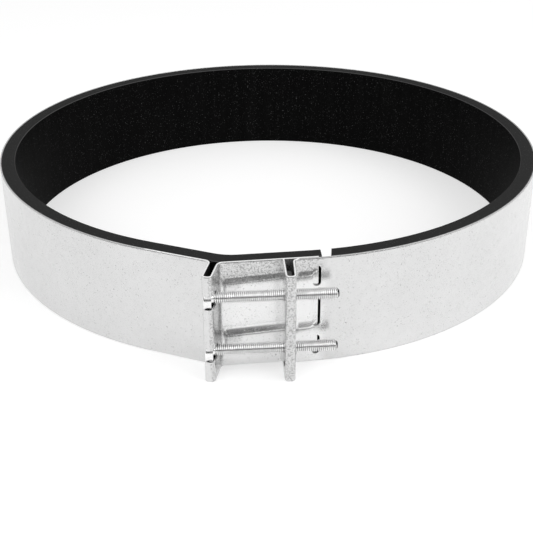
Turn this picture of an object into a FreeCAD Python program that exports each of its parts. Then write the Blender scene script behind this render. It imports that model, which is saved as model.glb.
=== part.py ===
import FreeCAD, Part
import math
import os

# Duct clamp: a galvanised steel band with a rubber lining, closed by two screws.
# Frame: Z is the axis of the duct, X runs along the screws, and the ears stand out towards -Y.
# The origin lies on the duct's axis, in the plane of the band's lower edge.

# Driving dimensions in millimetres and degrees: the band
duct_diameter = 315.0
band_width = 60.0
sheet_thickness = 1.0
bend_radius = 2.5
run_off_turn = 26.0
lap_tilt = 3.0
lap_gap = 0.1
lap_end = 13.6

# Ears, each a folded loop of the band
fold_gap = 3.4
nose_bend_radius = 1.2
right_ear_place = -1.85
right_ear_height = 18.1
right_ear_flare = 2.4
left_ear_place = -38.3
left_ear_height = 16.0
left_ear_lean = 14.5

# Pressed beads of the lap, and of the band that nests over it
bead_margin = 0.8
bead_end = 17.5
bead_spacing = 30.0
bead_root_width = 14.4
bead_crown_width = 6.4
bead_end_slope = 2.0
bead_depth = 1.2

# Windows that show how far the lap reaches
window_place = 12.8
window_width = 4.2
outer_window_length = 11.5
middle_window_length = 17.6
window_edge_distance = 4.25

# Rubber lining
lining_thickness = 8.0
glue_line = 0.1
lining_start = 21.0
lining_end = 15.3
lining_inner_bend = 24.0
lining_outer_bend = 10.0

# Screws, and the holes and slots that they pass
screw_spacing = 30.0
screw_height = 8.9
screw_diameter = 6.0
screw_length = 63.0
tip_chamfer = 0.9
head_diameter = 12.0
head_height = 4.0
head_edge_radius = 0.8
socket_width = 4.0
socket_depth = 2.2
head_seat_gap = 0.1
screw_hole_diameter = 7.0
slot_width = 7.8
slot_reach = 1.2
head_hole_diameter = 13.0

# Nut bar that lies in the right ear
nut_bar_thickness = 3.0
nut_bar_width = 12.0
nut_bar_length = 50.0
nut_bar_chamfer = 0.6
thread_clearance = 0.05

# Radii of the sheet's middle line, on the ring and where the lap lies under the band
half_sheet = sheet_thickness / 2
duct_radius = duct_diameter / 2
band_radius = duct_radius + lining_thickness + glue_line + half_sheet
nest_step = sheet_thickness + lap_gap
lap_radius = band_radius - nest_step
fold_radius = (fold_gap + sheet_thickness) / 2
nose_radius = nose_bend_radius + half_sheet
root_radius = bend_radius + half_sheet

# Places that several pieces share
middle_height = band_width / 2
screw_y = -(band_radius + half_sheet + screw_height)
screw_heights = [middle_height - screw_spacing / 2, middle_height + screw_spacing / 2]
bead_heights = [middle_height - bead_spacing / 2, middle_height + bead_spacing / 2]
near_leg_x = right_ear_place - fold_radius
far_leg_x = right_ear_place + fold_radius
cut_reach = 2 * band_width
shortest_run = 1e-6

UP = FreeCAD.Vector(0, 0, 1)
ALONG = FreeCAD.Vector(1, 0, 0)


def flat(x, y):
    """A point in the plane of the band's lower edge."""
    return FreeCAD.Vector(x, y, 0)


def direction(angle):
    """Unit vector at an angle from X, seen from above."""
    return flat(math.cos(angle), math.sin(angle))


def left_of(vector):
    """The vector turned a quarter turn to the left."""
    return flat(-vector.y, vector.x)


def crossing(first_point, first_way, second_point, second_way):
    """Where a line through the first point meets a line through the second."""
    normal = left_of(second_way)
    distance = (second_point - first_point).dot(normal) / first_way.dot(normal)
    return first_point + first_way * distance


class Touch:
    """Where a straight run touches the rings round the duct: its angle and its two directions."""

    def __init__(self, degrees):
        self.angle = math.radians(degrees)
        self.out = direction(self.angle)
        self.way = left_of(self.out)

    def point(self, radius):
        """The touching point on a ring."""
        return self.out * radius

    def meets(self, radius, point, way):
        """Where the run that touches a ring of this radius meets another line."""
        return crossing(self.point(radius), self.way, point, way)

    def at_x(self, x, radius):
        """The point at x of the run that touches a ring of this radius."""
        return self.meets(radius, flat(x, 0), left_of(ALONG))


lap_touch = Touch(lap_tilt - 90)
run_off_touch = Touch(-90 - run_off_turn)


class Line:
    """A plane line of straight runs and bends, each tangent to the last."""

    def __init__(self, start, angle):
        self.start = start
        self.angle = angle
        self.end = start
        self.end_angle = angle
        self.steps = []

    def run_to(self, point):
        """Add a straight run that ends beside the point."""
        length = (point - self.end).dot(direction(self.end_angle))
        self.steps.append((length, 0.0, 0.0))
        self.end = self.end + direction(self.end_angle) * length

    def bend(self, turn, radius):
        """Add a bend, which turns left where the turn is positive."""
        self.steps.append((0.0, turn, radius))
        side = math.copysign(radius, turn)
        centre = self.end + left_of(direction(self.end_angle)) * side
        self.end_angle += turn
        self.end = centre - left_of(direction(self.end_angle)) * side

    def round_corners(self, corners, radii, towards):
        """Go round each corner with a bend of its own radius, and leave the last one towards a point."""
        for corner, following, radius in zip(corners, corners[1:] + [towards], radii):
            way = following - corner
            turn = math.remainder(math.atan2(way.y, way.x) - self.end_angle, math.tau)
            self.run_to(corner - direction(self.end_angle) * radius * math.tan(abs(turn) / 2))
            self.bend(turn, radius)

    def follow_ring(self, radius, end_angle):
        """Follow a ring to the left, up to an angle."""
        self.bend((end_angle + math.pi / 2 - self.end_angle) % math.tau, radius)

    def edges(self, offset=0.0):
        """Edges of the line that lies the offset to the left of this one."""
        made = []
        angle = self.angle
        place = self.start + left_of(direction(angle)) * offset
        for length, turn, radius in self.steps:
            if turn:
                side = math.copysign(radius, turn) - offset
                centre = place + left_of(direction(angle)) * side
                middle = centre - left_of(direction(angle + turn / 2)) * side
                angle += turn
                following = centre - left_of(direction(angle)) * side
                made.append(Part.Arc(place, middle, following).toShape())
            else:
                following = place + direction(angle) * length
                if length > shortest_run:
                    made.append(Part.LineSegment(place, following).toShape())
            place = following
        return made


def wall_between(left_edges, right_edges):
    """The full-width wall between two lines that run side by side."""
    start = Part.makeLine(left_edges[0].firstVertex().Point, right_edges[0].firstVertex().Point)
    end = Part.makeLine(left_edges[-1].lastVertex().Point, right_edges[-1].lastVertex().Point)
    outline = Part.Wire(Part.__sortEdges__(left_edges + right_edges + [start, end]))
    return Part.Face(outline).extrude(UP * band_width)


def sheet_along(line):
    """The steel sheet that has this middle line."""
    return wall_between(line.edges(half_sheet), line.edges(-half_sheet))


def box_between(low, high):
    """A box with its lowest and highest corners given."""
    size = high - low
    return Part.makeBox(size.x, size.y, size.z, low)


def angle_at(x, radius):
    """Angle of the point at x on the front of a ring."""
    return -math.acos(x / radius)


class LeftEar:
    """The left ear's legs and nose, which lean away from the screws."""

    def __init__(self):
        self.way = direction(math.radians(-90 - left_ear_lean))
        self.across = left_of(self.way)
        self.foot = flat(left_ear_place, -band_radius)

    def leg_point(self, side, height=0.0):
        """A point of the middle line of the left (-1) or the right (1) leg."""
        return self.foot + self.way * height + self.across * (side * fold_radius)

    def corners(self):
        """The ear's corners before they are bent: left root, nose, nose and right root."""
        left_root = run_off_touch.meets(band_radius, self.leg_point(-1), self.way)
        right_root = lap_touch.meets(lap_radius, self.leg_point(1), self.way)
        nose = [self.leg_point(side, left_ear_height) for side in (-1, 1)]
        return [left_root, *nose, right_root]

    def head_seat(self):
        """Where a screw's head stops, against the right leg's inner face beside the slot."""
        chord = math.sqrt(head_diameter ** 2 - slot_width ** 2) / 2
        inner_face = self.leg_point(1) - self.across * half_sheet
        touch = crossing(inner_face, self.way, flat(0, screw_y - chord), ALONG)
        return touch.x - head_seat_gap

    def middle_x(self):
        """Where a screw's axis crosses the plane midway between the legs."""
        return crossing(self.foot, self.way, flat(0, screw_y), ALONG).x


left_ear = LeftEar()
seat_x = left_ear.head_seat()
nose_y = -(band_radius + right_ear_height)
far_leg_way = direction(math.radians(90 - right_ear_flare))
far_leg_root = lap_touch.meets(band_radius, flat(far_leg_x, nose_y), far_leg_way)


def band_line():
    """Middle line from the right ear's free edge, round the ring, to the foot of the left ear."""
    free_edge = lap_touch.at_x(near_leg_x, lap_radius + half_sheet + lap_gap)
    line = Line(free_edge, math.radians(-90))
    line.round_corners(
        [flat(near_leg_x, nose_y), flat(far_leg_x, nose_y), far_leg_root],
        [nose_radius, nose_radius, root_radius],
        towards=lap_touch.point(band_radius),
    )
    line.run_to(lap_touch.point(band_radius))
    line.follow_ring(band_radius, run_off_touch.angle)
    line.round_corners(
        left_ear.corners(),
        [root_radius, nose_radius, nose_radius, root_radius],
        towards=lap_touch.point(lap_radius),
    )
    return line


def lap_line(foot):
    """Middle line of the lap, from the foot of the left ear to well past its own end."""
    line = Line(foot.end, foot.end_angle)
    line.run_to(lap_touch.point(lap_radius))
    line.follow_ring(lap_radius, angle_at(bead_end, lap_radius))
    return line


def bead_outline(start, end, half_height, height):
    """Rectangle in the lap's plane, raised by a height over its middle line."""
    origin = lap_touch.point(lap_radius + height)
    first = origin + lap_touch.way * start
    last = origin + lap_touch.way * end
    rise = UP * half_height
    return Part.makePolygon([first - rise, last - rise, last + rise, first + rise, first - rise])


def bead_form(foot, surface):
    """Both beads as a solid that stands on a surface, given by its height over the lap's middle."""
    start = (foot.end - lap_touch.point(lap_radius)).dot(lap_touch.way) + bead_margin
    root = bead_root_width / 2
    base = bead_outline(start, bead_end, root, surface - half_sheet)
    foot_outline = bead_outline(start, bead_end, root, surface)
    crown_outline = bead_outline(
        start + bead_end_slope, bead_end - bead_end_slope, bead_crown_width / 2, surface + bead_depth,
    )
    form = Part.makeLoft([base, foot_outline, crown_outline], True, True)
    placed = []
    for height in bead_heights:
        bead = form.copy()
        bead.translate(UP * height)
        placed.append(bead)
    return placed[0].fuse(placed[1])


def press_lap(foot):
    """The lap with its two beads, cut off at its end."""
    form = sheet_along(lap_line(foot))
    form = form.fuse(bead_form(foot, half_sheet)).cut(bead_form(foot, -half_sheet))
    past_end = box_between(
        FreeCAD.Vector(lap_end, -band_radius - cut_reach, -cut_reach),
        FreeCAD.Vector(cut_reach, -duct_radius, cut_reach),
    )
    return form.cut(past_end)


def nest_beads(sheet, foot):
    """Press the beads of the lap into the band that lies over it, and notch the free edge."""
    under = box_between(
        FreeCAD.Vector(-cut_reach, -band_radius - cut_reach, -cut_reach),
        FreeCAD.Vector(far_leg_root.x, -duct_radius, cut_reach),
    )
    outer = bead_form(foot, half_sheet + nest_step).cut(under)
    return sheet.fuse(outer).cut(bead_form(foot, half_sheet + lap_gap))


def upright_slot(x, low, high):
    """A window's cutter: an upright slot with round ends, through the front of the band."""
    radius = window_width / 2
    front = -band_radius - cut_reach
    depth = cut_reach + lining_thickness
    back = FreeCAD.Vector(0, 1, 0)
    corner = FreeCAD.Vector(x - radius, front, low + radius)
    body = Part.makeBox(window_width, depth, high - low - window_width, corner)
    ends = []
    for height in (low + radius, high - radius):
        ends.append(Part.makeCylinder(radius, depth, FreeCAD.Vector(x, front, height), back))
    return body.fuse(ends)


def windows():
    """The three windows of the band beside the right ear."""
    top = band_width - window_edge_distance
    spans = [
        (window_edge_distance, window_edge_distance + outer_window_length),
        (middle_height - middle_window_length / 2, middle_height + middle_window_length / 2),
        (top - outer_window_length, top),
    ]
    return [upright_slot(window_place, low, high) for low, high in spans]


def rod(diameter, start_x, end_x, height):
    """A round rod or hole on a screw's axis."""
    start = FreeCAD.Vector(start_x, screw_y, height)
    return Part.makeCylinder(diameter / 2, end_x - start_x, start, ALONG)


def ear_cutters(height):
    """The holes of both ears and the left ear's slot, for one screw."""
    tip_y = (left_ear.foot + left_ear.way * (left_ear_height + sheet_thickness)).y
    half_slot = slot_width / 2
    slot_end = screw_y + slot_reach
    slot_start_x = left_ear_place - cut_reach
    slot_stop_x = near_leg_x - sheet_thickness
    slot = box_between(
        FreeCAD.Vector(slot_start_x, tip_y, height - half_slot),
        FreeCAD.Vector(slot_stop_x, slot_end, height + half_slot),
    )
    round_end = Part.makeCylinder(
        half_slot, slot_stop_x - slot_start_x, FreeCAD.Vector(slot_start_x, slot_end, height), ALONG,
    )
    return [
        slot,
        round_end,
        rod(screw_hole_diameter, slot_stop_x, far_leg_root.x + sheet_thickness, height),
        rod(head_hole_diameter, slot_start_x, left_ear.middle_x(), height),
    ]


def band():
    """The galvanised band: one sheet with its ring, two ears, lap, beads, windows and holes."""
    line = band_line()
    outer = nest_beads(sheet_along(line), line).cut(windows())
    sheet = outer.fuse(press_lap(line))
    cutters = []
    for height in screw_heights:
        cutters += ear_cutters(height)
    return sheet.cut(cutters).removeSplitter()


def lining():
    """The rubber strip inside the band, which bridges the foot of the left ear."""
    sides = []
    clearance = half_sheet + glue_line
    for ring, under_lap, bend in (
        (duct_radius, duct_radius, lining_inner_bend),
        (band_radius - clearance, lap_radius - clearance, lining_outer_bend),
    ):
        start_angle = angle_at(lining_start, ring)
        line = Line(direction(start_angle) * ring, start_angle + math.pi / 2)
        line.follow_ring(ring, run_off_touch.angle)
        corner = run_off_touch.meets(ring, lap_touch.point(under_lap), lap_touch.way)
        line.round_corners([corner], [bend], towards=lap_touch.point(under_lap))
        line.run_to(lap_touch.point(under_lap))
        line.follow_ring(under_lap, angle_at(lining_end, under_lap))
        sides.append(line.edges())
    return wall_between(*sides)


def hexagon(width, x, length, height):
    """A six-sided bar on a screw's axis, by its width across flats."""
    corner_radius = width / math.sqrt(3)
    first = FreeCAD.Vector(x, screw_y, height + corner_radius)
    points = [first]
    for _ in range(6):
        turned = Part.Vertex(points[-1])
        turned.rotate(FreeCAD.Vector(x, screw_y, height), ALONG, 60)
        points.append(turned.Point)
    points[-1] = first
    return Part.Face(Part.makePolygon(points)).extrude(ALONG * length)


def screw(height):
    """A screw with a low round head, a hexagon socket and a chamfered tip."""
    tip_x = seat_x + screw_length
    head = rod(head_diameter, seat_x - head_height, seat_x, height)
    rim = [edge for edge in head.Edges if edge.BoundBox.XMax < seat_x - head_height / 2]
    head = head.makeFillet(head_edge_radius, rim)
    shank = rod(screw_diameter, seat_x - head_edge_radius, tip_x, height)
    tip = [edge for edge in shank.Edges if edge.BoundBox.XMin > tip_x - tip_chamfer]
    shank = shank.makeChamfer(tip_chamfer, tip)
    socket = hexagon(socket_width, seat_x - head_height, socket_depth, height)
    return head.fuse(shank).cut(socket).removeSplitter()


def nut_bar():
    """The flat bar in the right ear, with a threaded hole for each screw."""
    seat = near_leg_x + half_sheet
    low = FreeCAD.Vector(seat, screw_y - nut_bar_width / 2, middle_height - nut_bar_length / 2)
    bar = Part.makeBox(nut_bar_thickness, nut_bar_width, nut_bar_length, low)
    lengthwise = [edge for edge in bar.Edges if edge.BoundBox.ZLength > nut_bar_width]
    bar = bar.makeChamfer(nut_bar_chamfer, lengthwise)
    bore = screw_diameter + 2 * thread_clearance
    return bar.cut([rod(bore, near_leg_x, far_leg_x, height) for height in screw_heights])


lower, upper = screw_heights
nodes = {
    "band": band(),
    "lining": lining(),
    "nut_bar": nut_bar(),
    "lower_screw": screw(lower),
    "upper_screw": screw(upper),
}

os.makedirs("parts", exist_ok=True)
for name, shape in nodes.items():
    shape.exportStep(os.path.join("parts", name + ".step"))
    print(name, len(shape.Solids), "solid", shape.isValid(), round(shape.Volume, 1), "mm3")
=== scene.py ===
"""Looks of the duct clamp: its steel band, rubber lining, screws and nut bar, in a pale studio."""

import cmath
import logging
import math
from contextlib import contextmanager
from dataclasses import dataclass, field
from enum import Enum
from typing import Callable, Iterable, Iterator, Optional, Sequence, Union

import bmesh
import bpy
from mathutils import Matrix, Vector


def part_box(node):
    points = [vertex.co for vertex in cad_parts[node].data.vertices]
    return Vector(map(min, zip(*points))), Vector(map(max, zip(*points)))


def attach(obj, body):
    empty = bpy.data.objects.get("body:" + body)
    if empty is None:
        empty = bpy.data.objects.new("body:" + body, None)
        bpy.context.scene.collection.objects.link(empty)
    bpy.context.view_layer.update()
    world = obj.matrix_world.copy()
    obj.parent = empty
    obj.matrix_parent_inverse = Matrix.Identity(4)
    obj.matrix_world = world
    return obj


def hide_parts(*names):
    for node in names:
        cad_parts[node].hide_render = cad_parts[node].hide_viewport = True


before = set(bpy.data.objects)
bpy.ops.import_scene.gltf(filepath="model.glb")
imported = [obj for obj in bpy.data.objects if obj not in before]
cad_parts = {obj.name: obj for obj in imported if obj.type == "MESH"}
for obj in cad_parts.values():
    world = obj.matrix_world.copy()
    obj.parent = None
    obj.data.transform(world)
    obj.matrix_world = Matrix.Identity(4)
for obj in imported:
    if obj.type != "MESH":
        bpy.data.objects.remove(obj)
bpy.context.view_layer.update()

log = logging.getLogger("duct_clamp")

# One millimetre in metres. Then, in millimetres, how near points merge and how thin a welded seam is
MM = 0.001
MERGE = 1e-4
SEAM = 1e-3
Triple = tuple[float, float, float]
Colour = Triple
Span = tuple[float, float]
Stops = tuple[Span, ...]
Value = Union["Wire", float, int, Sequence[float]]


class Body(Enum):
    """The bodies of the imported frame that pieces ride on."""

    CLAMP = "clamp"
    LOWER_SCREW = "lower_screw"
    UPPER_SCREW = "upper_screw"


class Slot(Enum):
    """The record's material slots."""

    STEEL = "galvanised_steel"
    RUBBER = "lining_rubber"
    ZINC = "screw_zinc"
    BAR = "nut_bar_steel"


class Skin(Enum):
    """The sides of the sheet: towards the duct, away from it, and sheared."""

    INNER = "inner"
    OUTER = "outer"
    SHEARED = "sheared"


class Stretch(Enum):
    """The stretches of a course, which the sheet or the lining follows."""

    RIGHT_EAR = "right_ear"
    NEST = "nest"
    RING = "ring"
    LEFT_EAR = "left_ear"
    LAP = "lap"
    FRONT = "front"


class Coat(Enum):
    """The finishes of the sheet, in the order of their material slots."""

    SHEET = "galvanised_sheet"
    BRIGHT_EDGE = "bright_edge"
    # Painted shade on the insides of the ears' folds
    FOLD = "painted_shade_fold"
    DULL_EDGE = "dull_edge"
    # Painted shade on the windows' cut edges
    SHADED_WINDOW_EDGE = "window_edge_painted_shade"


@dataclass(frozen=True)
class Wire:
    """A shader socket whose operators add Math nodes to its graph."""

    graph: "Graph"
    socket: bpy.types.NodeSocket

    def __add__(self, other: Value) -> "Wire":
        """This plus other."""
        return self.graph.maths("ADD", self, other)

    __radd__ = __add__

    def __mul__(self, other: Value) -> "Wire":
        """This times other."""
        return self.graph.maths("MULTIPLY", self, other)

    __rmul__ = __mul__

    def __sub__(self, other: Value) -> "Wire":
        """This minus other."""
        return self.graph.maths("SUBTRACT", self, other)

    def __rsub__(self, other: Value) -> "Wire":
        """Other minus this."""
        return self.graph.maths("SUBTRACT", other, self)

    def __gt__(self, other: Value) -> "Wire":
        """1 where this is greater than other, or else 0."""
        return self.graph.maths("GREATER_THAN", self, other)

    def clamped(self) -> "Wire":
        """This, kept between 0 and 1."""
        return self.graph.maths("ADD", self, 0.0, use_clamp=True)

    def rise(self, span: Span) -> "Wire":
        """0 to 1 as this length in metres goes through a span in millimetres, eased at both ends."""
        inputs = {"Value": self, "From Min": span[0] * MM, "From Max": span[1] * MM}
        return self.graph.wire(self.graph.node("ShaderNodeMapRange", inputs, interpolation_type="SMOOTHSTEP"))


class Graph:
    """The node tree of one material or world, with one method that makes every node."""

    def __init__(self, tree: bpy.types.NodeTree) -> None:
        """Start an empty tree.

        Args:
            tree: the node tree to fill.
        """
        self.tree = tree
        self.tree.nodes.clear()

    def node(
        self, kind: str, inputs: Optional[dict[Union[str, int], Value]] = None, **settings: object,
    ) -> bpy.types.Node:
        """Make a node.

        Args:
            kind: the node's type name.
            inputs: values or wires, by the name or number of the socket.
            **settings: the node's own settings, which are set before its sockets.

        Returns:
            The new node.
        """
        made = self.tree.nodes.new(kind)
        stops = settings.pop("stops", None)
        for name, value in settings.items():
            setattr(made, name, value)
        if stops:
            self._set_stops(made.color_ramp, stops)
        for name, value in (inputs or {}).items():
            socket = made.inputs[name]
            if isinstance(value, Wire):
                self.tree.links.new(value.socket, socket)
            elif isinstance(value, (tuple, list)) and socket.type == "RGBA":
                socket.default_value = (*value[:3], 1.0)
            else:
                socket.default_value = value
        return made

    @staticmethod
    def _set_stops(ramp: bpy.types.ColorRamp, stops: Stops) -> None:
        """Give a ramp its stops.

        Args:
            ramp: the ramp to set.
            stops: pairs of position and grey level.
        """
        while len(ramp.elements) < len(stops):
            ramp.elements.new(1.0)
        for element, (position, level) in zip(ramp.elements, stops):
            element.position = position
            element.color = (level, level, level, 1.0)

    def wire(self, node: bpy.types.Node, output: Union[str, int] = 0) -> Wire:
        """The wire from a node's output."""
        return Wire(self, node.outputs[output])

    def maths(self, operation: str, first: Value, second: Value, use_clamp: bool = False) -> Wire:
        """Add a Math node.

        Args:
            operation: the node's operation.
            first: its first value or wire.
            second: its second value or wire.
            use_clamp: whether the result is kept between 0 and 1.

        Returns:
            The wire of its result.
        """
        inputs = {0: first, 1: second}
        return self.wire(self.node("ShaderNodeMath", inputs, operation=operation, use_clamp=use_clamp))

    def blend(self, factor: Value, first: Value, second: Value) -> Wire:
        """Mix two colours.

        Args:
            factor: 0 for the first colour, 1 for the second.
            first: a colour or its wire.
            second: a colour or its wire.

        Returns:
            The wire of the mixed colour.
        """
        inputs = {0: factor, 6: first, 7: second}
        return self.wire(self.node("ShaderNodeMix", inputs, data_type="RGBA", clamp_factor=True), 2)

    def ramp(self, value: Wire, stops: Stops) -> Wire:
        """Send a value through a ramp of grey stops."""
        return self.wire(self.node("ShaderNodeValToRGB", {0: value}, stops=stops))

    def place(self, scale: Triple = (1.0, 1.0, 1.0)) -> Wire:
        """The point on the object in metres, stretched along each axis by its scale."""
        point = self.wire(self.node("ShaderNodeTexCoord"), "Object")
        return self.wire(self.node("ShaderNodeMapping", {"Vector": point, "Scale": scale}))

    def axes(self) -> list[Wire]:
        """The point on the object in metres, as its X, Y and Z."""
        split = self.node("ShaderNodeSeparateXYZ", {0: self.place()})
        return [self.wire(split, number) for number in range(3)]

    def backdrop_rays(self) -> Wire:
        """1 for the rays that see a white backdrop: those of the camera, of gloss and of glass.

        Returns:
            The wire, which is 0 for the diffuse rays that light the object.
        """
        path = self.node("ShaderNodeLightPath")
        seen = self.wire(path, "Is Camera Ray") + self.wire(path, "Is Glossy Ray")
        return (seen + self.wire(path, "Is Transmission Ray")).clamped()

    def noise(self, place: Wire, size_mm: float, detail: float = 2.0, roughness: float = 0.5) -> Wire:
        """Cloudy noise.

        Args:
            place: where it is read.
            size_mm: about the size of its patches.
            detail: how many finer layers it has.
            roughness: how strong the finer layers are.

        Returns:
            The wire of its value, about 0.5 on average.
        """
        return self.wire(self.node("ShaderNodeTexNoise", {
            "Vector": place, "Scale": 1.0 / (size_mm * MM), "Detail": detail, "Roughness": roughness,
        }))

    def bump(self, height: Wire, depth_mm: float, below: Optional[Wire] = None) -> Wire:
        """Turn a height between 0 and 1 into a normal.

        Args:
            height: the height's wire.
            depth_mm: how deep a height of 1 is.
            below: the normal that this one is laid over.

        Returns:
            The wire of the normal.
        """
        inputs: dict[str, Value] = {"Height": height, "Distance": depth_mm * MM, "Strength": 1.0}
        if below is not None:
            inputs["Normal"] = below
        return self.wire(self.node("ShaderNodeBump", inputs))


def grey(level: float) -> Colour:
    """A neutral colour."""
    return (level, level, level)


@dataclass(frozen=True)
class SteelFinish:
    """Hot-dip galvanised sheet: pale zinc, faint spangle, dark specks, with painted shade and painted light
    on the lap and ears.

    Each span of an area gives the two places, in millimetres, between which it fades in or out.
    """

    ear_lean: float
    pale: Colour = grey(0.73)
    dull: Colour = grey(0.58)
    speck: Colour = grey(0.28)
    # The next two greys are painted shade and painted light, laid on areas of the sheet
    painted_shade_grey: Colour = grey(0.20)
    painted_light_grey: Colour = grey(0.86)
    spangle_mm: float = 3.5
    speck_mm: float = 0.7
    mottle_mm: float = 0.85
    cloud_mm: float = 40.0
    wander_mm: float = 6.0
    bump_mm: float = 0.010
    cloud_stops: Stops = ((0.35, 0.0), (0.65, 1.0))
    speck_stops: Stops = ((0.715, 0.0), (0.74, 1.0))
    mottle_stops: Stops = ((0.49, 0.0), (0.59, 1.0))
    speck_clouds: float = 0.03
    speck_strength: float = 0.85
    spangle_dulls: float = 0.10
    clouds_dull: float = 0.14
    mottle_dulls: float = 0.04
    shade_darkens: float = 0.05
    shade_mottle: float = 0.52
    metal: float = 0.85
    rough: float = 0.19
    spangle_roughens: float = 0.05
    mottle_roughens: float = 0.04
    shade_roughens: float = 0.04
    lap_top: Span = (47.5, 51.0)
    lap_left: Span = (-42.0, -34.0)
    lap_right: Span = (12.0, 20.0)
    lap_front: Span = (-164.0, -160.0)
    nose_left: Span = (-8.0, -7.0)
    nose_back: Span = (-180.0, -172.0)
    ear_middle: Span = (5.0, 6.0)
    ear_back: Span = (-169.0, -167.0)
    ear_right: Span = (-27.0, -24.0)

    def material(self) -> bpy.types.Material:
        """Make the material.

        Returns:
            The material.
        """
        made, graph = new_material(Coat.SHEET.value)
        place = graph.place()
        cells = graph.node("ShaderNodeTexVoronoi", {
            "Vector": place, "Scale": 1.0 / (self.spangle_mm * MM), "Randomness": 1.0,
        })
        spangle = graph.wire(graph.node("ShaderNodeSeparateColor", {0: graph.wire(cells, "Color")}), 0)
        clouds = graph.ramp(graph.noise(place, self.cloud_mm), self.cloud_stops)
        grain = graph.noise(place, self.speck_mm, detail=1.0)
        specks = graph.ramp(grain + clouds * self.speck_clouds, self.speck_stops)
        mottle = graph.ramp(graph.noise(place, self.mottle_mm, roughness=0.6), self.mottle_stops)
        wear_and_shade, painted_light = self._painted_shade_and_light(graph)
        dulling = spangle * self.spangle_dulls + clouds * self.clouds_dull + mottle * self.mottle_dulls
        # Painted shade, mottled, on the lap's top, the right ear's nose and the left ear's face
        darkening = wear_and_shade * (mottle * self.shade_mottle + self.shade_darkens)
        colour = graph.blend(dulling, self.pale, self.dull)
        # Painted light on the rest of the lap and the band beside it, then the painted shade
        colour = graph.blend(painted_light, colour, self.painted_light_grey)
        colour = graph.blend(darkening, colour, self.painted_shade_grey)
        colour = graph.blend(specks * self.speck_strength, colour, self.speck)
        rough = spangle * self.spangle_roughens + mottle * self.mottle_roughens
        rough = rough + wear_and_shade * self.shade_roughens + self.rough
        normal = graph.bump(grain * 0.5 + mottle * 0.5, self.bump_mm)
        finish_surface(graph, made, {
            "Base Color": colour, "Metallic": self.metal, "Roughness": rough, "Normal": normal,
        })
        return made

    def _painted_shade_and_light(self, graph: Graph) -> tuple[Wire, Wire]:
        """Where shade is painted on the sheet, and where light is painted on it.

        Args:
            graph: the material's graph.

        Returns:
            The strength of the painted shade: the lap's top, the right ear's nose and the left ear's face.
            Then that of the painted light: the rest of the lap, and the band beside it.
        """
        across, out, height = graph.axes()
        wander = (graph.noise(graph.place(), self.wander_mm) - 0.5) * (self.wander_mm * MM)
        top = (height + wander).rise(self.lap_top)
        lap = (across + wander).rise(self.lap_left) * (1.0 - (across + wander).rise(self.lap_right))
        lap = lap * (1.0 - out.rise(self.lap_front))
        nose = (1.0 - out.rise(self.nose_back)) * across.rise(self.nose_left)
        # The left ear leans, so its middle plane is upright only in this sheared coordinate
        leaning = across - out * math.tan(math.radians(self.ear_lean))
        ear_face = leaning.rise(self.ear_middle) * (1.0 - out.rise(self.ear_back))
        ear_face = ear_face * (1.0 - across.rise(self.ear_right))
        # dull is where shade is painted; the second value is where light is painted
        dull = (top * lap + nose + ear_face).clamped()
        return dull, (1.0 - top) * lap * (1.0 - nose - ear_face)


@dataclass(frozen=True)
class FoldFinish:
    """The insides of the folded ears, darkened in patches: painted shade."""

    painted_fold_shade: Colour = (0.020, 0.020, 0.021)
    lighter_fold_shade: Colour = grey(0.10)
    patch_mm: float = 4.0
    patch_stops: Stops = ((0.52, 0.0), (0.68, 1.0))
    metal: float = 0.3
    rough: float = 0.45
    rough_spread: float = 0.2
    gloss: float = 0.2
    bump_mm: float = 0.03

    def material(self) -> bpy.types.Material:
        """Make the material.

        Returns:
            The material.
        """
        made, graph = new_material(Coat.FOLD.value)
        patches = graph.noise(graph.place(), self.patch_mm, detail=3.0)
        finish_surface(graph, made, {
            "Base Color": graph.blend(graph.ramp(patches, self.patch_stops), self.painted_fold_shade, self.lighter_fold_shade),
            "Metallic": self.metal, "Roughness": patches * self.rough_spread + self.rough,
            "Specular IOR Level": self.gloss, "Normal": graph.bump(patches, self.bump_mm),
        })
        return made


@dataclass(frozen=True)
class CutEdgeFinish:
    """The sheared edges of the sheet, smeared along the cut."""

    coat: Coat = Coat.BRIGHT_EDGE
    bright: Colour = grey(0.88)
    smeared: Colour = grey(0.66)
    streak_mm: float = 1.2
    streak_stretch: Triple = (1.0, 1.0, 0.2)
    streak_stops: Stops = ((0.5, 0.0), (0.75, 1.0))
    metal: float = 0.7
    rough: float = 0.25
    rough_spread: float = 0.2
    bump_mm: float = 0.02

    def material(self) -> bpy.types.Material:
        """Make the material.

        Returns:
            The material.
        """
        made, graph = new_material(self.coat.value)
        streaks = graph.noise(graph.place(self.streak_stretch), self.streak_mm)
        finish_surface(graph, made, {
            "Base Color": graph.blend(graph.ramp(streaks, self.streak_stops), self.bright, self.smeared),
            "Metallic": self.metal, "Roughness": streaks * self.rough_spread + self.rough,
            "Normal": graph.bump(streaks, self.bump_mm),
        })
        return made


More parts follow.
